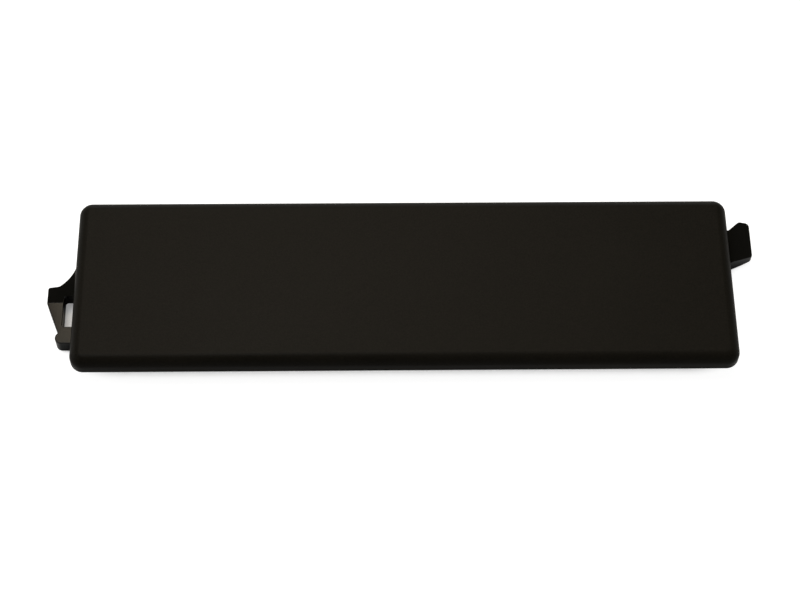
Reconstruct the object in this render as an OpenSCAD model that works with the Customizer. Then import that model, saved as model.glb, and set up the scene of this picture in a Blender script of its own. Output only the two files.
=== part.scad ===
// Drive bay blank filler: one black ABS moulding that snaps into an empty half-height bay.
// It lies on its back, with the front face up. +X is to the right seen from the front,
// +Y is towards the top edge as installed, and Z = 0 is the rim of the rear frame.

/* [Front panel] */
// Width of the front face
panel_w = 148; // [120:1:180]
// Height of the front face as installed
panel_h = 42; // [38:0.5:60]
// Thickness of the face behind its flat front
face_wall = 2.2; // [1.6:0.1:3]
// Radius of the four corners, seen from the front
corner_r = 3; // [2.6:0.1:5]
// Radius of the rolled edge between the face and the lip
edge_r = 2.5; // [1.5:0.1:2.6]
// Depth of the lip behind the flat front
lip_depth = 4.5; // [3.5:0.1:7]
// Wall of the lip
lip_wall = 2; // [1.4:0.1:2.4]

/* [Rear frame] */
// How far the frame stands out behind the lip
frame_out = 4.5; // [4:0.1:9]
// Distance from the outline of the panel in to the frame
frame_inset = 4.5; // [4:0.1:6]
// Wall of the frame
frame_wall = 1.8; // [1.4:0.1:2.4]
// Outside corner radius of the frame
frame_r = 2.4; // [1.4:0.1:4]

/* [Stiffening ribs] */
// Thickness of a rib
rib_wall = 1.2; // [0.8:0.1:1.6]
// Height of a rib over the back of the face
rib_height = 1.6; // [0.8:0.1:2]
// Distance between the cross ribs
rib_pitch = 22; // [14:1:32]

/* [Both side clips] */
// Depth of the latch and the hook, front to back
clip_depth = 3.7; // [2.8:0.1:3.8]
// Gap between the lip and the front of the clips
clip_gap = 0.3; // [0.2:0.05:0.6]
// Radius in the inside corners of the clips
clip_fillet = 0.6; // [0.3:0.1:0.8]
// How far the sloped front lies back at the end of a clip
front_drop = 1.4; // [0.6:0.1:1.6]
// How far the lead-in at the back runs in from the end of a clip
lead_run = 2.4; // [1.5:0.1:3]
// Wall left round the hollow in the back of a clip
core_wall = 1.1; // [0.8:0.1:1.3]
// Depth of the hollow in the back of a clip
core_depth = 2.4; // [1:0.1:2.6]

/* [Sprung latch on the left] */
// How far the catch reaches beyond the side of the panel
latch_reach = 6.6; // [5.4:0.1:7.4]
// Height of the top of the catch over the middle of the panel
latch_top = 0.6; // [-2:0.1:2]
// Height of the flat land at the end of the scoop, over the top of the catch
latch_land = 1; // [0.4:0.1:1.6]
// Height of the blunt end of the catch
latch_nose = 3.1; // [2.2:0.1:3.6]
// Radius of the corners of the latch
latch_r = 0.5; // [0.2:0.1:0.6]
// How far the sloped front runs in from the end of the catch
latch_slope_run = 6; // [2:0.1:7]
// How far the lead-in at the back rises at the end of the catch
latch_lead = 1.3; // [0.8:0.1:1.4]
// Radius of the scoop over the catch
scoop_r = 7.9; // [7.6:0.1:9]
// Height of the finger behind the lip, from the top of the catch
finger_height = 6.5; // [5:0.1:7]
// How far the finger reaches in behind the lip
finger_reach = 1.5; // [1.2:0.1:1.9]
// Height of the web between the catch and the slot
web_height = 1.9; // [1.6:0.1:2.6]
// Length of the open slot beside the arm
slot_length = 7.9; // [6:0.1:8.5]
// Distance from the side of the panel out to the slot side of the arm
arm_out = 2.6; // [2.3:0.1:2.9]
// Thickness of the arm at the foot of the slot
arm_root = 1.4; // [1.2:0.1:1.8]
// Radius of the knuckle that the arm springs from
knuckle_r = 1.4; // [1.1:0.1:1.7]

/* [Fixed hook on the right] */
// How far the hook reaches beyond the side of the panel
hook_reach = 6; // [5.2:0.1:6.8]
// Height of the top of the hook over the middle of the panel
hook_top = 17.6; // [14:0.1:17.8]
// Height of the outer end of the hook
hook_height = 8.9; // [6:0.1:9.4]
// Slope of the underside of the hook, in degrees
hook_slope = 24; // [10:1:30]
// How far the sloped front runs in from the end of the hook
hook_slope_run = 4.5; // [2.5:0.1:4.8]
// How far the lead-in at the back rises at the end of the hook
hook_lead = 0.3; // [0.2:0.1:1.4]
// Radius of the corners of the hook
hook_r = 0.9; // [0.4:0.1:1.2]
// Distance from the side of the panel to the head of the hook
neck_length = 0.9; // [0.7:0.1:1.8]
// Step down from the top of the head to the top of the neck
neck_step = 2.6; // [1.6:0.1:3]

/* [Hidden] */
$fn = 64;
sliver = 0.01;
side_x = panel_w / 2;
body_depth = frame_out + lip_depth;
back_z = body_depth - face_wall;
clip_top_z = frame_out - clip_gap;
clip_z = clip_top_z - clip_depth;
frame_w = panel_w - 2 * frame_inset;
frame_h = panel_h - 2 * frame_inset;
clip_root_x = frame_wall / 2 - frame_inset - frame_wall;
rib_count = floor((frame_w / 2 - frame_wall - rib_pitch / 2) / rib_pitch);
finger_top = latch_top + finger_height;
nose_low = latch_top - latch_nose;
slot_top = latch_top - web_height;
slot_low = slot_top - slot_length;
knuckle_y = slot_low - 2 * knuckle_r;
arm_lean = (latch_reach - arm_out - arm_root) / (nose_low - slot_low);
neck_top = hook_top - neck_step;
hook_low = hook_top - hook_height;
hook_root_low = hook_low - (hook_reach - clip_root_x) * tan(hook_slope);

// A rectangle about the middle with round corners
module rounded_rect(w, h, r) {
    square([w, h - 2 * r], center = true);
    square([w - 2 * r, h], center = true);
    for (x = [-1, 1], y = [-1, 1])
        translate([x * (w / 2 - r), y * (h / 2 - r)]) circle(r);
}

// Section across the panel, its front edges rolled over
module rolled_section(w) {
    translate([-w / 2, 0]) square([w, lip_depth - edge_r]);
    translate([edge_r - w / 2, 0]) square([w - 2 * edge_r, lip_depth]);
    for (x = [-1, 1])
        translate([x * (w / 2 - edge_r), lip_depth - edge_r]) circle(edge_r);
}

// One corner of the panel, turned about the corner's own centre
module rolled_corner() {
    rotate_extrude() intersection() {
        rolled_section(2 * corner_r);
        square([corner_r, lip_depth]);
    }
}

module panel_outside() {
    rotate([90, 0, 0])
        linear_extrude(panel_h - 2 * corner_r, center = true) rolled_section(panel_w);
    rotate([90, 0, 90])
        linear_extrude(panel_w - 2 * corner_r, center = true) rolled_section(panel_h);
    for (x = [-1, 1], y = [-1, 1])
        translate([x * (side_x - corner_r), y * (panel_h / 2 - corner_r)]) rolled_corner();
}

// The face and its lip, open at the back
module shell() {
    translate([0, 0, frame_out]) difference() {
        panel_outside();
        translate([0, 0, -sliver]) linear_extrude(lip_depth - face_wall + sliver)
            rounded_rect(panel_w - 2 * lip_wall, panel_h - 2 * lip_wall, corner_r - lip_wall / 2);
    }
}

// The wall that the filler rests on and that carries both clips
module frame() {
    inside_r = max(frame_r - frame_wall, sliver);
    linear_extrude(back_z + sliver) difference() {
        rounded_rect(frame_w, frame_h, frame_r);
        rounded_rect(frame_w - 2 * frame_wall, frame_h - 2 * frame_wall, inside_r);
    }
}

// Low ribs on the back of the face, one along the panel and the rest across it
module ribs() {
    translate([0, 0, back_z - rib_height]) linear_extrude(rib_height + sliver) {
        square([frame_w - frame_wall, rib_wall], center = true);
        for (i = [-rib_count : rib_count])
            translate([i * rib_pitch, 0]) square([rib_wall, frame_h - frame_wall], center = true);
    }
}

// Rounds a clip's outline: its outside corners to r, its inside corners to the fillet
module softened(r) {
    offset(r = -clip_fillet) offset(delta = clip_fillet)
        offset(r = r) offset(delta = -r) children();
}

// A clip from its outline, sloped at its outer end and hollow at the back.
// x = 0 is the side of the panel, and +X points outwards.
module clip(reach, slope_run, lead, low, high) {
    core_end = reach - lead_run;
    difference() {
        linear_extrude(clip_depth) children();
        rotate([90, 0, 0]) translate([0, 0, -high]) linear_extrude(high - low) {
            polygon([
                [reach - slope_run, clip_depth],
                [reach, clip_depth - front_drop],
                [reach + sliver, clip_depth + sliver],
                [reach - slope_run, clip_depth + sliver]
            ]);
            polygon([
                [reach - lead_run, 0],
                [reach, lead],
                [reach + sliver, -sliver],
                [reach - lead_run, -sliver]
            ]);
        }
        translate([0, 0, -sliver]) linear_extrude(core_depth + sliver) intersection() {
            offset(delta = -core_wall) children();
            translate([-frame_inset, low]) square([core_end + frame_inset, high - low]);
        }
    }
}

// The arm springs from a knuckle beside the lip, carries the catch
// and ends in a finger that slides in behind the lip
module latch_outline() {
    softened(latch_r) {
        difference() {
            polygon([
                [-finger_reach, slot_top],
                [arm_out, slot_top],
                [arm_out, knuckle_y],
                [arm_out + arm_root - arm_lean * (slot_low - knuckle_y), knuckle_y],
                [latch_reach, nose_low],
                [latch_reach, finger_top],
                [-finger_reach, finger_top]
            ]);
            intersection() {
                translate([scoop_r, latch_top + scoop_r]) circle(scoop_r);
                translate([-finger_reach, latch_top + latch_land])
                    square([scoop_r + finger_reach, scoop_r]);
            }
        }
        translate([arm_out, knuckle_y]) circle(knuckle_r);
        translate([clip_root_x, knuckle_y - knuckle_r])
            square([arm_out - clip_root_x, slot_low - knuckle_y + knuckle_r]);
    }
}

module hook_outline() {
    softened(hook_r) polygon([
        [clip_root_x, neck_top],
        [neck_length, neck_top],
        [neck_length + neck_step, hook_top],
        [hook_reach, hook_top],
        [hook_reach, hook_low],
        [clip_root_x, hook_root_low]
    ]);
}

// Joins the root of a clip to the back of the lip, between two heights
module root_pad(low, high) {
    translate([clip_root_x, low, clip_depth - sliver])
        linear_extrude(clip_gap + 2 * sliver) square([-clip_root_x, high - low]);
}

module latch() {
    mirror([1, 0, 0]) {
        clip(latch_reach, latch_slope_run, latch_lead, nose_low - latch_r, finger_top)
            latch_outline();
        root_pad(knuckle_y - knuckle_r, slot_low);
    }
}

module hook() {
    clip(hook_reach, hook_slope_run, hook_lead, hook_root_low, hook_top) hook_outline();
    root_pad(hook_low - hook_reach * tan(hook_slope), neck_top);
}

module filler_panel() {
    color("#23211d") {
        shell();
        frame();
        ribs();
        translate([-side_x, 0, clip_z]) latch();
        translate([side_x, 0, clip_z]) hook();
    }
}

filler_panel();
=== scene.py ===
from math import atan2, cos, degrees, radians, sin, sqrt, tan

import bmesh
import bpy
from mathutils import Matrix, Vector


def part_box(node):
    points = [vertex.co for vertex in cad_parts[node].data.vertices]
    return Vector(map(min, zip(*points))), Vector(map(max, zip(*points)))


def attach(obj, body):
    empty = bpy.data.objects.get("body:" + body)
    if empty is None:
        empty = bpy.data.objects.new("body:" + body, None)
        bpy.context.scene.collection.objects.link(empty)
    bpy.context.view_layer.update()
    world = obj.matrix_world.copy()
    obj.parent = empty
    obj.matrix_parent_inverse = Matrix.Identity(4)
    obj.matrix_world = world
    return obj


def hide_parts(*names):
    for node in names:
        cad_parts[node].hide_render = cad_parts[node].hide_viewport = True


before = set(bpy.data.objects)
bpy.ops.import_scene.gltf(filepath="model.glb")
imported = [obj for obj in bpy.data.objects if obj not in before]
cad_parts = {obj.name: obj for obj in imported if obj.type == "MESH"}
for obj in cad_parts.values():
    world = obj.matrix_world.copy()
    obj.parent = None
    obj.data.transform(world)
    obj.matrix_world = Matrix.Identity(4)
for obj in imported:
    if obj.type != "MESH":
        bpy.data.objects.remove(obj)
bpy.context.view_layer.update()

# The blank filler for a half-height drive bay: one black ABS moulding that lies face up.
# +X is to the right seen from the front, +Y is towards the top edge, the rear rim is at Z = 0.

nodeLow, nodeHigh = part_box("filler_panel")
mm = 0.001
rimZ = nodeLow.z       # the rim that the filler rests on
faceZ = nodeHigh.z     # the flat front of the face
midY = (nodeLow.y + nodeHigh.y) / 2
near = 0.01 * mm       # what still counts as the same height
samePoint = near / 10  # points closer than this are merged
spare = 1 * mm         # how far a cutter reaches past what it cuts
squarely = 0.9         # the share of a direction along Z from which it counts as upright
print("frame loaded, the front face is at", round(faceZ / mm, 2), "mm")


def onlyThis(piece):
    bpy.ops.object.select_all(action="DESELECT")
    piece.select_set(True)
    bpy.context.view_layer.objects.active = piece


def startEdit(piece):
    onlyThis(piece)
    bpy.ops.object.mode_set(mode="EDIT")


def endEdit():
    bpy.ops.object.mode_set(mode="OBJECT")


# A finished primitive keeps its place in its mesh, so the object itself stays at the origin
def named(name):
    piece = bpy.context.active_object
    piece.name = name
    piece.data.name = name
    onlyThis(piece)
    bpy.ops.object.transform_apply(location=True, rotation=True, scale=True)
    return piece


# A block between two opposite corners
def addBlock(name, corner, opposite):
    middle = [(a + b) / 2 for a, b in zip(corner, opposite)]
    size = [abs(b - a) for a, b in zip(corner, opposite)]
    bpy.ops.mesh.primitive_cube_add(size=1, location=middle, scale=size)
    return named(name)


# Selects in edit mode what passes a test: kind is VERT, EDGE or FACE
def pick(kind, test):
    data = bpy.context.active_object.data
    mesh = bmesh.from_edit_mesh(data)
    mesh.normal_update()
    bpy.ops.mesh.select_mode(type=kind)
    bpy.ops.mesh.select_all(action="DESELECT")
    for item in {"VERT": mesh.verts, "EDGE": mesh.edges, "FACE": mesh.faces}[kind]:
        if test(item):
            item.select_set(True)
    bmesh.update_edit_mesh(data)


def pickUpright():
    def upright(edge):
        first, second = [vertex.co for vertex in edge.verts]
        return abs((second - first).normalized().z) > squarely

    pick("EDGE", upright)


# The test gets the middle of each edge
def pickEdges(test):
    pick("EDGE", lambda edge: test((edge.verts[0].co + edge.verts[1].co) / 2))


# The edges round a flat rim, without the short spokes across it
def pickRims(height):
    def onRim(edge):
        level = all(abs(vertex.co.z - height) < near for vertex in edge.verts)
        return level and edge.calc_face_angle(0) > radians(60)

    pick("EDGE", onRim)


# What faces the rear, downwards as the filler lies
def pickBack():
    pick("FACE", lambda face: face.normal.z < -squarely)


def pickCorner(place):
    mesh = bmesh.from_edit_mesh(bpy.context.active_object.data)
    nearest = min((vertex.co - place).length for vertex in mesh.verts)
    pick("VERT", lambda vertex: (vertex.co - place).length == nearest)


# In the settings, a rounding is its radius and its steps
def roundOver(rounding, affect="EDGES"):
    radius, steps = rounding
    bpy.ops.mesh.bevel(offset=radius, segments=steps, affect=affect, clamp_overlap=False)


def facesOut():
    bpy.ops.mesh.select_all(action="SELECT")
    bpy.ops.mesh.remove_doubles(threshold=samePoint)
    bpy.ops.mesh.normals_make_consistent(inside=False)


def cutOrJoin(piece, other, operation):
    onlyThis(piece)
    modifier = piece.modifiers.new(operation.lower(), "BOOLEAN")
    modifier.operation = operation
    modifier.solver = "EXACT"
    modifier.object = other
    bpy.ops.object.modifier_apply(modifier=modifier.name)
    bpy.data.objects.remove(other)


# The face and its lip, with the front edge rolled over and the back open
shell = {
    "width": 148 * mm,
    "height": nodeHigh.y - nodeLow.y,
    "depth": 4.5 * mm,         # of the lip behind the flat front
    "corner": (3 * mm, 14),
    "roll": (2.5 * mm, 14),    # the rolled edge between the face and the lip
    "faceWall": 2.2 * mm,
    "lipWall": 2 * mm,
    "rimBreak": (0.25 * mm, 3),
}
halfWidth = shell["width"] / 2
halfHeight = shell["height"] / 2
lipZ = faceZ - shell["depth"]       # the rear edge of the lip
backZ = faceZ - shell["faceWall"]   # the back of the face


def makeShell():
    piece = addBlock(
        "filler_moulding",
        (-halfWidth, midY - halfHeight, lipZ),
        (halfWidth, midY + halfHeight, faceZ),
    )
    startEdit(piece)
    pickUpright()
    roundOver(shell["corner"])
    pickEdges(lambda middle: middle.z > faceZ - near)
    roundOver(shell["roll"])
    pickBack()
    bpy.ops.mesh.inset(thickness=shell["lipWall"], use_even_offset=True)
    bpy.ops.mesh.extrude_region_move(
        TRANSFORM_OT_translate={"value": (0, 0, backZ - lipZ)}
    )
    facesOut()
    pickRims(lipZ)
    roundOver(shell["rimBreak"])
    facesOut()
    endEdit()
    print("shell made")
    return piece


# The wall behind the lip that the filler rests on and that carries both clips
rearFrame = {
    "inset": 4.5 * mm,  # from the outline of the panel in to the frame
    "wall": 1.8 * mm,
    "corner": (2.4 * mm, 10),
    "rimBreak": (0.25 * mm, 3),
    "root": 0.6 * mm,  # how far it runs into the face
}
frameX = halfWidth - rearFrame["inset"]
frameY = halfHeight - rearFrame["inset"]


def makeRearFrame():
    piece = addBlock(
        "rear_frame",
        (-frameX, midY - frameY, rimZ),
        (frameX, midY + frameY, backZ + rearFrame["root"]),
    )
    startEdit(piece)
    pickUpright()
    roundOver(rearFrame["corner"])
    pick("FACE", lambda face: abs(face.normal.z) > squarely)
    bpy.ops.mesh.inset(thickness=rearFrame["wall"], use_even_offset=True)
    bpy.ops.mesh.bridge_edge_loops()
    facesOut()
    pickRims(rimZ)
    roundOver(rearFrame["rimBreak"])
    endEdit()
    print("rear frame made")
    return piece


# Low ribs that keep the face flat as the plastic cools, narrower towards their crest
ribs = {
    "wall": 1.2 * mm,
    "crest": 0.9 * mm,
    "height": 1.6 * mm,
    "pitch": 22 * mm,
    "count": 5,             # an odd number, one of them in the middle
    "crestBreak": (0.15 * mm, 2),
    "root": 0.4 * mm,       # how far the long rib runs into the face
    "crossRoot": 0.3 * mm,  # less, so that the roots don't share a plane
}
crestZ = backZ - ribs["height"]


def makeRib(name, halfLength, along, root):
    thin = ribs["wall"] / 2
    half = (halfLength, thin) if along == "x" else (thin, halfLength)
    piece = addBlock(
        name,
        (-half[0], midY - half[1], crestZ),
        (half[0], midY + half[1], backZ + root),
    )
    startEdit(piece)
    pickBack()
    narrowed = ribs["crest"] / ribs["wall"]
    scale = (1, narrowed, 1) if along == "x" else (narrowed, 1, 1)
    bpy.ops.transform.resize(value=scale, center_override=(0, midY, 0))
    pickEdges(lambda middle: middle.z < crestZ + near)
    roundOver(ribs["crestBreak"])
    endEdit()
    return piece


def makeRibs():
    inWall = rearFrame["wall"] / 2
    pieces = [makeRib("long_rib", frameX - inWall, "x", ribs["root"])]
    crossRib = makeRib("cross_rib", frameY - inWall, "y", ribs["crossRoot"])
    pieces.append(crossRib)
    half = (ribs["count"] - 1) // 2
    for step in range(-half, half + 1):
        if step == 0:
            continue
        onlyThis(crossRib)
        bpy.ops.object.duplicate()
        bpy.ops.transform.translate(value=(step * ribs["pitch"], 0, 0))
        pieces.append(named("cross_rib_at_" + str(step)))
    print("ribs made,", len(pieces))
    return pieces


# Both clips are as deep as each other, and each starts inside the wall of the rear frame
clips = {
    "gap": 0.3 * mm,         # between the lip and the front of the clips
    "depth": 3.7 * mm,
    "rootX": -(rearFrame["inset"] + rearFrame["wall"] / 2),
    "frontDrop": 1.4 * mm,   # how far the sloped front lies back at the end
    "leadRun": 2.4 * mm,     # how far the lead-in at the back runs in
    "edgeBreak": (0.18 * mm, 3),
    "sharp": 35,             # degrees from which an edge is broken
    "wall": 1.1 * mm,        # left round a hollow
    "hollowDepth": 2.4 * mm,
    "hollowRootX": -3.9 * mm,
    "hollowCorner": (0.4 * mm, 3),
    "hollowBreak": (0.15 * mm, 2),
    "draft": 0.94,           # the size of a hollow's floor beside its mouth
    "padInset": 0.3 * mm,    # how far the pads at the roots stay inside the outline
    "padSink": 0.4 * mm,     # how far they run into the clip and into the lip
    "padStart": 0.1 * mm,    # how far out from the root of the clip they start
    "flat": 8 * mm * mm,     # the least area of a flat whose edge is kept crisp
    "crease": 5,             # the least angle of such an edge, in degrees
}
clipTopZ = lipZ - clips["gap"]
clipLowZ = clipTopZ - clips["depth"]


# Draws an outline in the plane of the clips: side is -1 for the left clip and 1 for the right,
# and x runs outwards from the side of the panel. A corner is (x, y), an arc is
# (centre x, centre y, degrees turned, steps).
def drawOutline(name, side, path):
    def place(x, y):
        return Vector((side * (halfWidth + x), midY + y, clipLowZ))

    here = place(*path[0])
    bpy.ops.mesh.primitive_plane_add(size=1 * mm, location=here)
    piece = named(name)
    startEdit(piece)
    bpy.ops.mesh.select_mode(type="VERT")
    bpy.ops.mesh.select_all(action="SELECT")
    bpy.ops.mesh.merge(type="CENTER")
    bpy.ops.mesh.select_all(action="SELECT")
    for step in path[1:]:
        if len(step) == 2:
            there = place(*step)
            bpy.ops.mesh.extrude_region_move(TRANSFORM_OT_translate={"value": there - here})
            here = there
        else:
            centre = place(step[0], step[1])
            turn = radians(step[2]) * side
            bpy.ops.mesh.spin(steps=step[3], angle=-turn, center=centre, axis=(0, 0, 1))
            here = centre + Matrix.Rotation(turn, 3, "Z") @ (here - centre)
    bpy.ops.mesh.select_all(action="SELECT")
    bpy.ops.mesh.remove_doubles(threshold=samePoint)
    bpy.ops.mesh.edge_face_add()
    endEdit()
    return piece, place


def roundCorners(place, corners):
    for x, y, rounding in corners:
        pickCorner(place(x, y))
        roundOver(rounding, "VERTICES")


# A wedge that takes the corner off the end of a clip: level is the face that it starts from,
# run how far in it starts, and fall how deep it is at the very end
def makeWedge(side, reach, run, level, fall, low, high):
    inner, outer = halfWidth + reach - run, halfWidth + reach + spare
    away = spare if fall < 0 else -spare
    wedge = addBlock(
        "wedge",
        (side * inner, midY + low, level),
        (side * outer, midY + high, level + away),
    )
    startEdit(wedge)
    pickEdges(
        lambda middle: side * middle.x > outer - near and abs(middle.z - level) < near
    )
    bpy.ops.transform.translate(value=(0, 0, fall * (run + spare) / run))
    endEdit()
    return wedge


# Gives an outline its depth, slopes its front and cuts the lead-in at its back
def finishClip(piece, side, look, low, high):
    startEdit(piece)
    bpy.ops.mesh.select_all(action="SELECT")
    bpy.ops.mesh.extrude_region_move(TRANSFORM_OT_translate={"value": (0, 0, clips["depth"])})
    facesOut()
    endEdit()
    reach = look["reach"]
    slope = makeWedge(side, reach, look["slopeRun"], clipTopZ, -clips["frontDrop"], low, high)
    cutOrJoin(piece, slope, "DIFFERENCE")
    lead = makeWedge(side, reach, clips["leadRun"], clipLowZ, look["lead"], low, high)
    cutOrJoin(piece, lead, "DIFFERENCE")
    startEdit(piece)
    facesOut()
    bpy.ops.mesh.select_mode(type="EDGE")
    bpy.ops.mesh.select_all(action="DESELECT")
    bpy.ops.mesh.edges_select_sharp(sharpness=radians(clips["sharp"]))
    roundOver(clips["edgeBreak"])
    endEdit()


# Cuts the hollow in the back of a clip, drafted so that it leaves its core. The roundings are
# for its first corners, in the order of the path.
def hollowOut(piece, name, side, path, roundings):
    core, place = drawOutline(name, side, path)
    startEdit(core)
    roundCorners(place, [(x, y, rounding) for (x, y), rounding in zip(path, roundings)])
    bpy.ops.mesh.select_all(action="SELECT")
    bpy.ops.transform.translate(value=(0, 0, -spare / 2))
    bpy.ops.mesh.extrude_region_move(
        TRANSFORM_OT_translate={"value": (0, 0, clips["hollowDepth"] + spare / 2)}
    )
    bpy.ops.transform.resize(value=(clips["draft"], clips["draft"], 1))
    facesOut()
    floorZ = clipLowZ + clips["hollowDepth"]
    pickEdges(lambda middle: middle.z > floorZ - near)
    roundOver(clips["hollowBreak"])
    endEdit()
    cutOrJoin(piece, core, "DIFFERENCE")


# Ties the root of a clip to the rear edge of the lip
def makeRootPad(name, side, low, high):
    inner = side * (halfWidth + clips["rootX"] + clips["padStart"])
    outer = side * (halfWidth - clips["padInset"])
    return addBlock(
        name,
        (inner, midY + low + clips["padInset"], clipTopZ - clips["padSink"]),
        (outer, midY + high - clips["padInset"], lipZ + clips["padSink"]),
    )


# The sprung latch: an arm from a knuckle beside the lip, a catch, and a finger behind the lip
latch = {
    "reach": 6.6 * mm,         # beyond the side of the panel
    "top": 0.6 * mm,           # of the catch, over the middle of the panel
    "nose": 3.1 * mm,          # height of its blunt end
    "land": 1 * mm,            # the flat at the end of the scoop, over the top of the catch
    "slopeRun": 6 * mm,
    "lead": 1.3 * mm,
    "scoopRadius": 7.9 * mm,
    "scoopSteps": 16,
    "fingerHeight": 6.5 * mm,  # from the top of the catch
    "fingerReach": 1.5 * mm,   # in behind the lip
    "web": 1.9 * mm,           # between the catch and the slot
    "slot": 7.9 * mm,
    "armOut": 2.6 * mm,        # from the side of the panel to the slot side of the arm
    "armRoot": 1.4 * mm,       # thickness of the arm at the foot of the slot
    "knuckleRadius": 1.4 * mm,
    "knuckleSteps": 14,
    "corner": (0.5 * mm, 5),
    "noseCorner": (0.4 * mm, 5),
    "landCorner": (0.2 * mm, 3),
    "fingerTip": (0.25 * mm, 3),
    "elbow": (0.3 * mm, 3),    # where the arm leaves the knuckle
    "fillet": (0.6 * mm, 5),   # at both ends of the slot
    # the hollow in the catch, in mm outwards and over the top of the catch
    "hollowCurve": [(3.9, 0.1), (1.9, 1.1), (0.5, 2.8), (-0.4, 4.6)],
    "hollowCorners": [(0.3 * mm, 3), (0.25 * mm, 3)],
    "rootHollowX": 2.2 * mm,
    "rootHollowDrop": 0.35 * mm,  # under the middle of the knuckle
}


def makeLatch():
    side = -1
    reach, top, armOut = latch["reach"], latch["top"], latch["armOut"]
    noseLow = top - latch["nose"]
    slotTop = top - latch["web"]
    slotLow = slotTop - latch["slot"]
    knuckle, scoop = latch["knuckleRadius"], latch["scoopRadius"]
    knuckleY = slotLow - 2 * knuckle
    fingerTop = top + latch["fingerHeight"]
    lean = (reach - armOut - latch["armRoot"]) / (noseLow - slotLow)
    # where the outside of the arm runs into the knuckle
    foot = latch["armRoot"] - lean * (slotLow - knuckleY)
    a, b, c = 1 + lean * lean, 2 * foot * lean, foot * foot - knuckle * knuckle
    rise = (-b + sqrt(b * b - 4 * a * c)) / (2 * a)
    knuckleTurn = 90 + degrees(atan2(rise, foot + lean * rise))
    # the scoop, from the flat land at the end of the catch up to the top of the finger
    scoopY, noseTop = top + scoop, top + latch["land"]
    landX = scoop - sqrt(scoop**2 - (noseTop - scoopY) ** 2)
    fingerX = scoop - sqrt(scoop**2 - (fingerTop - scoopY) ** 2)
    startTurn = degrees(atan2(noseTop - scoopY, landX - scoop))
    endTurn = degrees(atan2(fingerTop - scoopY, fingerX - scoop))
    piece, place = drawOutline("latch", side, [
        (clips["rootX"], knuckleY - knuckle),
        (armOut, knuckleY - knuckle),
        (armOut, knuckleY, knuckleTurn, latch["knuckleSteps"]),
        (reach, noseLow),
        (reach, noseTop),
        (landX, noseTop),
        (scoop, scoopY, endTurn - startTurn, latch["scoopSteps"]),
        (-latch["fingerReach"], fingerTop),
        (-latch["fingerReach"], slotTop),
        (armOut, slotTop),
        (armOut, slotLow),
        (clips["rootX"], slotLow),
    ])
    startEdit(piece)
    corner, fillet = latch["corner"], latch["fillet"]
    roundCorners(place, [
        (armOut + foot + lean * rise, knuckleY + rise, latch["elbow"]),
        (reach, noseLow, latch["noseCorner"]),
        (reach, noseTop, corner),
        (landX, noseTop, latch["landCorner"]),
        (fingerX, fingerTop, latch["fingerTip"]),
        (-latch["fingerReach"], fingerTop, corner),
        (-latch["fingerReach"], slotTop, corner),
        (armOut, slotTop, fillet),
        (armOut, slotLow, fillet),
    ])
    endEdit()
    finishClip(piece, side, latch, noseLow - corner[0], fingerTop + spare)
    curve = [(x * mm, top + y * mm) for x, y in latch["hollowCurve"]]
    webY = slotTop + clips["wall"]
    path = [(curve[-1][0], webY), (curve[0][0], webY)] + curve
    hollowOut(piece, "catch_hollow", side, path, latch["hollowCorners"])
    rootX, endX = clips["hollowRootX"], latch["rootHollowX"]
    lowY, highY = knuckleY - latch["rootHollowDrop"], slotLow - clips["wall"]
    path = [(rootX, lowY), (endX, lowY), (endX, highY), (rootX, highY)]
    hollowOut(piece, "latch_root_hollow", side, path, [clips["hollowCorner"]] * 4)
    pad = makeRootPad("latch_root_pad", side, knuckleY - knuckle, slotLow)
    print("latch made")
    return [piece, pad]


# The fixed hook: a neck beside the lip and a head that slopes down to its end
hook = {
    "reach": 6 * mm,
    "top": 17.6 * mm,
    "height": 8.9 * mm,      # of its outer end
    "slope": 24,             # of its underside, in degrees
    "slopeRun": 4.5 * mm,
    "lead": 0.3 * mm,
    "neckLength": 0.9 * mm,
    "neckStep": 2.6 * mm,    # down from the top of the head to the neck
    "lowCorner": (0.585 * mm, 6),
    "topCorner": (0.9 * mm, 7),
    "headCorner": (0.378 * mm, 5),
    "neckCorner": (0.27 * mm, 4),
    "hollowX": 3.4 * mm,
    "hollowRise": 1.2 * mm,  # straight up from the sloped underside
}


def makeHook():
    side = 1
    reach, top = hook["reach"], hook["top"]
    low = top - hook["height"]
    neckTop = top - hook["neckStep"]
    fall = tan(radians(hook["slope"]))
    rootLow = low - (reach - clips["rootX"]) * fall
    headX = hook["neckLength"] + hook["neckStep"]
    piece, place = drawOutline("hook", side, [
        (clips["rootX"], neckTop),
        (clips["rootX"], rootLow),
        (reach, low),
        (reach, top),
        (headX, top),
        (hook["neckLength"], neckTop),
    ])
    startEdit(piece)
    roundCorners(place, [
        (reach, low, hook["lowCorner"]),
        (reach, top, hook["topCorner"]),
        (headX, top, hook["headCorner"]),
        (hook["neckLength"], neckTop, hook["neckCorner"]),
    ])
    endEdit()
    finishClip(piece, side, hook, rootLow - spare, top + spare)
    rootX, endX = clips["hollowRootX"], hook["hollowX"]
    highY = neckTop - clips["wall"]
    rootY, endY = [low + hook["hollowRise"] - (reach - x) * fall for x in (rootX, endX)]
    path = [(rootX, highY), (rootX, rootY), (endX, endY), (endX, highY)]
    hollowOut(piece, "hook_hollow", side, path, [clips["hollowCorner"]] * 4)
    pad = makeRootPad("hook_root_pad", side, low - reach * fall, neckTop)
    print("hook made")
    return [piece, pad]


# What the mould leaves on the back: round ejector marks and the stub of the gate
mouldMarks = {
    "pinRadius": 1.6 * mm,
    "pinDepth": 0.15 * mm,
    # in mm, between the ribs
    "pinPlaces": [(x, y) for x in (-55, -11, 33) for y in (-8, 8)] + [(55, 8), (11, -8)],
    "gateRadius": 0.8 * mm,
    "gateTaper": 0.8,      # its end beside its foot
    "gateLength": 1.2 * mm,
    "gateStub": 0.3 * mm,  # how much of it stands over the ribs
}


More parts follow.
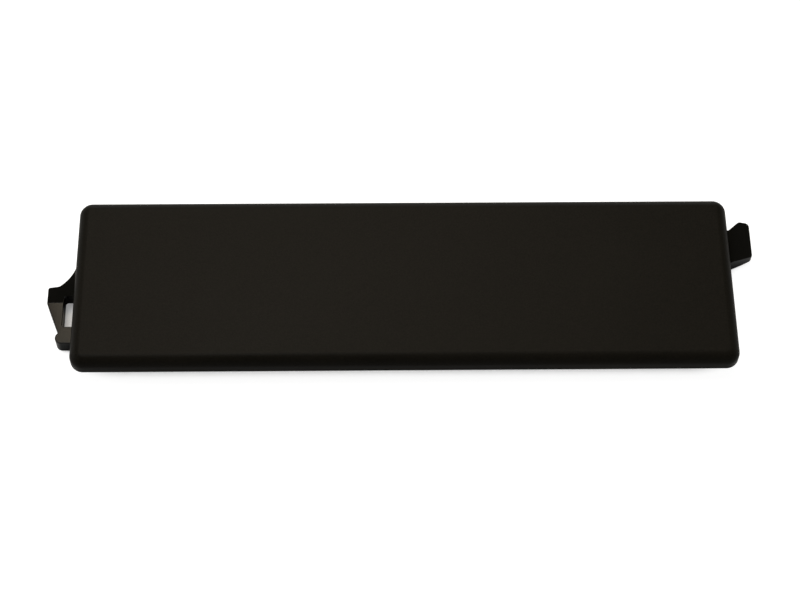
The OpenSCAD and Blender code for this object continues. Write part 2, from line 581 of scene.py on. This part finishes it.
def markMoulding(piece):
    for x, y in mouldMarks["pinPlaces"]:
        bpy.ops.mesh.primitive_cylinder_add(
            vertices=32,
            radius=mouldMarks["pinRadius"],
            depth=spare,
            location=(x * mm, midY + y * mm, backZ + mouldMarks["pinDepth"] - spare / 2),
        )
        cutOrJoin(piece, named("pin_mark"), "DIFFERENCE")
    bpy.ops.mesh.primitive_cone_add(
        vertices=24,
        radius1=mouldMarks["gateRadius"] * mouldMarks["gateTaper"],
        radius2=mouldMarks["gateRadius"],
        depth=mouldMarks["gateLength"],
        location=(0, midY, crestZ - mouldMarks["gateStub"] + mouldMarks["gateLength"] / 2),
    )
    cutOrJoin(piece, named("gate_stub"), "UNION")
    print("mould marks made")


# Keeps the line crisp where a slope or a lead-in starts from a flat of a clip
def creaseClips(piece):
    def crisp(edge):
        onClip = all(abs(vertex.co.x) > halfWidth for vertex in edge.verts)
        flats = all(face.calc_area() > clips["flat"] for face in edge.link_faces)
        return onClip and flats and edge.calc_face_angle(0) > radians(clips["crease"])

    startEdit(piece)
    pick("EDGE", crisp)
    print("creases kept,", piece.data.total_edge_sel)
    bpy.ops.mesh.mark_sharp()
    endEdit()


filler = makeShell()
parts = [makeRearFrame()] + makeRibs() + makeLatch() + makeHook()
for part in parts:
    cutOrJoin(filler, part, "UNION")
markMoulding(filler)
creaseClips(filler)
print("moulding joined,", len(filler.data.polygons), "faces")


def toLinear(hexColour):
    shares = [int(hexColour[i : i + 2], 16) / 255 for i in (1, 3, 5)]
    linear = [c / 12.92 if c <= 0.04045 else ((c + 0.055) / 1.055) ** 2.4 for c in shares]
    return (*linear, 1)


# Adds one node: settings are its own properties, values its socket defaults, links its inputs
def addNode(tree, kind, settings=None, values=None, links=None):
    node = tree.nodes.new(kind)
    for name, value in (settings or {}).items():
        setattr(node, name, value)
    for socket, value in (values or {}).items():
        node.inputs[socket].default_value = value
    for socket, source in (links or {}).items():
        tree.links.new(source, node.inputs[socket])
    return node


# ABS, moulded against a fine spark-eroded steel face. To the eye it is a dull, warm
# near-black with no mirror image, only a broad haze towards the light.
texturedAbs = {
    "colour": "#100f0c",
    "colourLight": "#181612",   # the two that the speckle runs between
    "roughness": (0.37, 0.43),
    "specular": 0.02,
    "ior": 1.53,
    "grain": 0.35 * mm,  # the real grain is near 0.1 mm, drawn coarser so that it shows
    "grainHeight": 0.012 * mm,
    "grainShare": 0.7,  # how much of the speckle in the colour is grain, the rest is cloud
    "cloud": 26 * mm,   # wide, faint patches where the steel is a little more worn
}

# ABS from a plain polished part of the mould: the clips, the frame and the back.
# To the eye it is darker than the face and gives back soft, blurred highlights.
polishedAbs = {
    "colour": "#0a0a08",
    "colourLight": "#0f0e0c",
    "roughness": (0.14, 0.2),
    "specular": 0.055,
    "ior": 1.53,
    "grain": 1.6 * mm,  # faint flow ripples
    "grainHeight": 0.004 * mm,
    "grainShare": 0.3,
    "cloud": 14 * mm,   # faint patches where the plastic cooled at its own pace
}


def makeAbs(name, look):
    material = bpy.data.materials.new(name)
    material.use_nodes = True
    tree = material.node_tree
    tree.nodes.clear()
    place = addNode(tree, "ShaderNodeTexCoord").outputs["Object"]
    cloud, grain = [
        addNode(
            tree, "ShaderNodeTexNoise",
            values={"Scale": 1 / look[name], "Detail": 3.0, "Roughness": rough},
            links={"Vector": place},
        ).outputs["Fac"]
        for name, rough in (("cloud", 0.5), ("grain", 0.6))
    ]
    speckle = addNode(
        tree, "ShaderNodeMix", {"data_type": "FLOAT"}, {0: look["grainShare"]},
        {2: cloud, 3: grain},
    ).outputs[0]
    speckle = addNode(
        tree, "ShaderNodeMapRange",
        values={"From Min": 0.35, "From Max": 0.65},  # where nearly all of the noise lies
        links={"Value": speckle},
    ).outputs["Result"]
    colour = addNode(
        tree, "ShaderNodeMix", {"data_type": "RGBA"},
        {6: toLinear(look["colour"]), 7: toLinear(look["colourLight"])},
        {0: speckle},
    ).outputs[2]
    roughness = addNode(
        tree, "ShaderNodeMapRange",
        values={"From Min": 0.3, "From Max": 0.7,
                "To Min": look["roughness"][0], "To Max": look["roughness"][1]},
        links={"Value": cloud},
    ).outputs["Result"]
    bump = addNode(
        tree, "ShaderNodeBump",
        values={"Strength": 1.0, "Distance": look["grainHeight"]},
        links={"Height": grain},
    ).outputs["Normal"]
    shader = addNode(
        tree, "ShaderNodeBsdfPrincipled",
        values={"IOR": look["ior"], "Specular IOR Level": look["specular"]},
        links={"Base Color": colour, "Roughness": roughness, "Normal": bump},
    )
    addNode(tree, "ShaderNodeOutputMaterial", links={"Surface": shader.outputs["BSDF"]})
    return material


# The eroded texture covers the face, the rolled edge and the lip, down to the parting line
texture = {
    "partingLine": 0.4 * mm,  # over the rear edge of the lip
    "frontSkin": 0.05 * mm,   # the flat front is whatever reaches this close to it
    "edgeBand": 1.9 * mm,     # less than the wall of the lip, so that its inside stays plain
    "upwards": 0.05,          # a normal with this much Z belongs to the rolled edge
}


def dressMoulding(piece):
    piece.data.materials.clear()
    piece.data.materials.append(makeAbs("ABS, spark-eroded black", texturedAbs))
    piece.data.materials.append(makeAbs("ABS, polished black", polishedAbs))
    bandX, bandY = halfWidth - shell["corner"][0], halfHeight - texture["edgeBand"]
    for face in piece.data.polygons:
        x, y, z = face.center
        onFront = z > faceZ - texture["frontSkin"]
        onSide = z > lipZ + texture["partingLine"] and (abs(x) > bandX or abs(y - midY) > bandY)
        normal = face.normal
        outwards = normal.z > texture["upwards"] or normal.x * x + normal.y * (y - midY) > 0
        face.material_index = 0 if onFront or (onSide and outwards) else 1


smoothAngle = 38  # degrees, from which an edge keeps its line
dressMoulding(filler)
onlyThis(filler)
bpy.ops.object.shade_smooth_by_angle(angle=radians(smoothAngle))
weighted = filler.modifiers.new("flat faces stay flat", "WEIGHTED_NORMAL")
weighted.keep_sharp = True
bpy.ops.object.modifier_apply(modifier=weighted.name)
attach(filler, "root")
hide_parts("filler_panel")
print("moulding dressed")


# A white table that curves up into a low wall all round, with soft light from above and behind
# and a little from the sides, which lets the rims and the clips stand out.
# Its glow is seen but lights nothing: it is full white far away and a little less round the
# filler. In the narrow gaps beside and under it, ambient occlusion fades the glow out, a painted
# contact shadow, so that the shadow stays there.
studio = {
    "table": "#a0a09e",
    "tableGap": 0.02 * mm,  # under the rim, so that the two don't share a plane
    "tableRadius": 1.1,
    "coveRadius": 0.35,
    "coveSteps": 8,
    "glow": (0.93, 1.0),
    "glowReach": (0.15, 0.5),
    "paintedShadeReach": 12 * mm,
    # the painted contact shadow: how open to the sky a place is where the glow starts and ends,
    # and how much the closed ones keep: seen directly, and in a reflection, where the painted
    # shadow is deeper
    "gap": {"From Min": (0.22, 0.42), "From Max": (0.4, 1.0), "To Min": (0.25, 0.0)},
    "world": "#ffffff",
    "worldStrength": (0.4, 0.04),  # close to the horizon, and overhead
    "worldHeight": (14, 55),        # degrees over the horizon
    # name: place, size, power and colour
    "softboxes": {
        "key_softbox": ((-0.3, 0.25, 1.33), (0.5, 0.5), 7.5, "#ffffff"),
        "card_softbox": ((-0.07, 0.59, 1.05), (0.42, 0.3), 5.8, "#fff0d6"),
        "back_softbox": ((0, 1.25, 0.55), (1.0, 0.5), 6.5, "#ffffff"),
        "left_softbox": ((-1.3, 0.1, 0.5), (1.0, 0.5), 5.0, "#ffffff"),
        "right_softbox": ((1.3, 0.1, 0.5), (1.0, 0.5), 1.6, "#ffffff"),
    },
}


def makeTable():
    bpy.ops.mesh.primitive_circle_add(
        vertices=96, radius=studio["tableRadius"], fill_type="NGON",
        location=(0, 0, rimZ - studio["tableGap"]),
    )
    table = named("table")
    startEdit(table)
    pickEdges(lambda middle: True)
    radius, height = studio["tableRadius"], 0
    for step in range(1, studio["coveSteps"] + 1):
        turn = radians(90 * step / studio["coveSteps"])
        wider = studio["tableRadius"] + studio["coveRadius"] * sin(turn)
        higher = studio["coveRadius"] * (1 - cos(turn))
        bpy.ops.mesh.extrude_edges_move(TRANSFORM_OT_translate={"value": (0, 0, higher - height)})
        scale = wider / radius
        bpy.ops.transform.resize(value=(scale, scale, 1), center_override=(0, 0, 0))
        radius, height = wider, higher
    endEdit()
    onlyThis(table)
    bpy.ops.object.shade_smooth()
    # matt laminate: plain white to the eye, with no gloss
    material = bpy.data.materials.new("white laminate table")
    material.use_nodes = True
    tree = material.node_tree
    tree.nodes.clear()
    diffuse = addNode(
        tree, "ShaderNodeBsdfDiffuse", values={"Color": toLinear(studio["table"])}
    ).outputs["BSDF"]
    path = addNode(tree, "ShaderNodeLightPath").outputs
    seen = path["Is Camera Ray"]
    for kind in ("Is Glossy Ray", "Is Transmission Ray"):
        seen = addNode(
            tree, "ShaderNodeMath", {"operation": "ADD", "use_clamp": True},
            links={0: seen, 1: path[kind]},
        ).outputs[0]
    place = addNode(tree, "ShaderNodeTexCoord").outputs["Object"]
    away = addNode(
        tree, "ShaderNodeVectorMath", {"operation": "LENGTH"}, links={0: place}
    ).outputs["Value"]
    strength = addNode(
        tree, "ShaderNodeMapRange",
        values={"From Min": studio["glowReach"][0], "From Max": studio["glowReach"][1],
                "To Min": studio["glow"][0], "To Max": studio["glow"][1]},
        links={"Value": away},
    ).outputs["Result"]
    # painted shade: ambient occlusion cuts the glow in the gaps beside and under the filler, a
    # painted contact shadow, and cuts it deeper for reflections
    openSky = addNode(
        tree, "ShaderNodeAmbientOcclusion", {"samples": 16}, {"Distance": studio["paintedShadeReach"]}
    ).outputs["AO"]
    ends = {"Value": openSky}
    for socket, (plain, mirrored) in studio["gap"].items():
        ends[socket] = addNode(
            tree, "ShaderNodeMath", {"operation": "MULTIPLY_ADD"},
            {1: mirrored - plain, 2: plain}, {0: path["Is Glossy Ray"]},
        ).outputs[0]
    gap = addNode(tree, "ShaderNodeMapRange", links=ends).outputs["Result"]
    for share in (gap, seen):
        strength = addNode(
            tree, "ShaderNodeMath", {"operation": "MULTIPLY"}, links={0: strength, 1: share}
        ).outputs[0]
    glow = addNode(
        tree, "ShaderNodeEmission", values={"Color": (1, 1, 1, 1)}, links={"Strength": strength}
    ).outputs["Emission"]
    both = addNode(tree, "ShaderNodeAddShader", links={0: diffuse, 1: glow}).outputs[0]
    addNode(tree, "ShaderNodeOutputMaterial", links={"Surface": both})
    table.data.materials.append(material)


def addSoftbox(name, place, size, power, colour):
    place = Vector(place)
    aim = Vector((0, midY, faceZ)) - place
    bpy.ops.object.light_add(type="AREA", location=place)
    lamp = bpy.context.active_object
    lamp.name = name
    lamp.rotation_euler = aim.to_track_quat("-Z", "Y").to_euler()
    lamp.data.shape = "RECTANGLE"
    lamp.data.size, lamp.data.size_y = size
    lamp.data.energy = power
    lamp.data.color = toLinear(colour)[:3]


def makeStudio():
    makeTable()
    for name, (place, size, power, colour) in studio["softboxes"].items():
        addSoftbox(name, place, size, power, colour)
    world = bpy.data.worlds.new("studio")
    bpy.context.scene.world = world
    world.use_nodes = True
    tree = world.node_tree
    way = addNode(tree, "ShaderNodeTexCoord").outputs["Generated"]
    height = addNode(tree, "ShaderNodeSeparateXYZ", links={0: way}).outputs["Z"]
    low, high = [sin(radians(angle)) for angle in studio["worldHeight"]]
    strength = addNode(
        tree, "ShaderNodeMapRange",
        values={"From Min": low, "From Max": high,
                "To Min": studio["worldStrength"][0], "To Max": studio["worldStrength"][1]},
        links={"Value": height},
    ).outputs["Result"]
    background = tree.nodes["Background"]
    background.inputs["Color"].default_value = toLinear(studio["world"])
    tree.links.new(strength, background.inputs["Strength"])
    print("table and lights made")


# The view: 61 degrees above the lower edge, a touch from the left, and slightly rolled
view = {
    "elevation": 60.8,     # these three in degrees
    "azimuth": 1.396,
    "roll": 0.881,
    "distance": 450 * mm,
    "aim": (-1.009 * mm, midY - 5.596 * mm, faceZ),
    "lens": 90.94,         # for a sensor of this width, both in mm
    "sensor": 36,
    "nearest": 10 * mm,
}


def makeCamera():
    up, around = radians(view["elevation"]), radians(view["azimuth"])
    towards = Vector((-sin(around) * cos(up), -cos(around) * cos(up), sin(up)))
    place = Vector(view["aim"]) + towards * view["distance"]
    turn = (-towards).to_track_quat("-Z", "Y").to_matrix()
    turn = turn @ Matrix.Rotation(radians(view["roll"]), 3, "Z")
    bpy.ops.object.camera_add(location=place, rotation=turn.to_euler())
    camera = bpy.context.active_object
    camera.data.lens = view["lens"]
    camera.data.sensor_width = view["sensor"]
    camera.data.clip_start = view["nearest"]
    bpy.context.scene.camera = camera
    print("camera placed")


makeStudio()
makeCamera()
bpy.context.scene.view_settings.view_transform = "Standard"
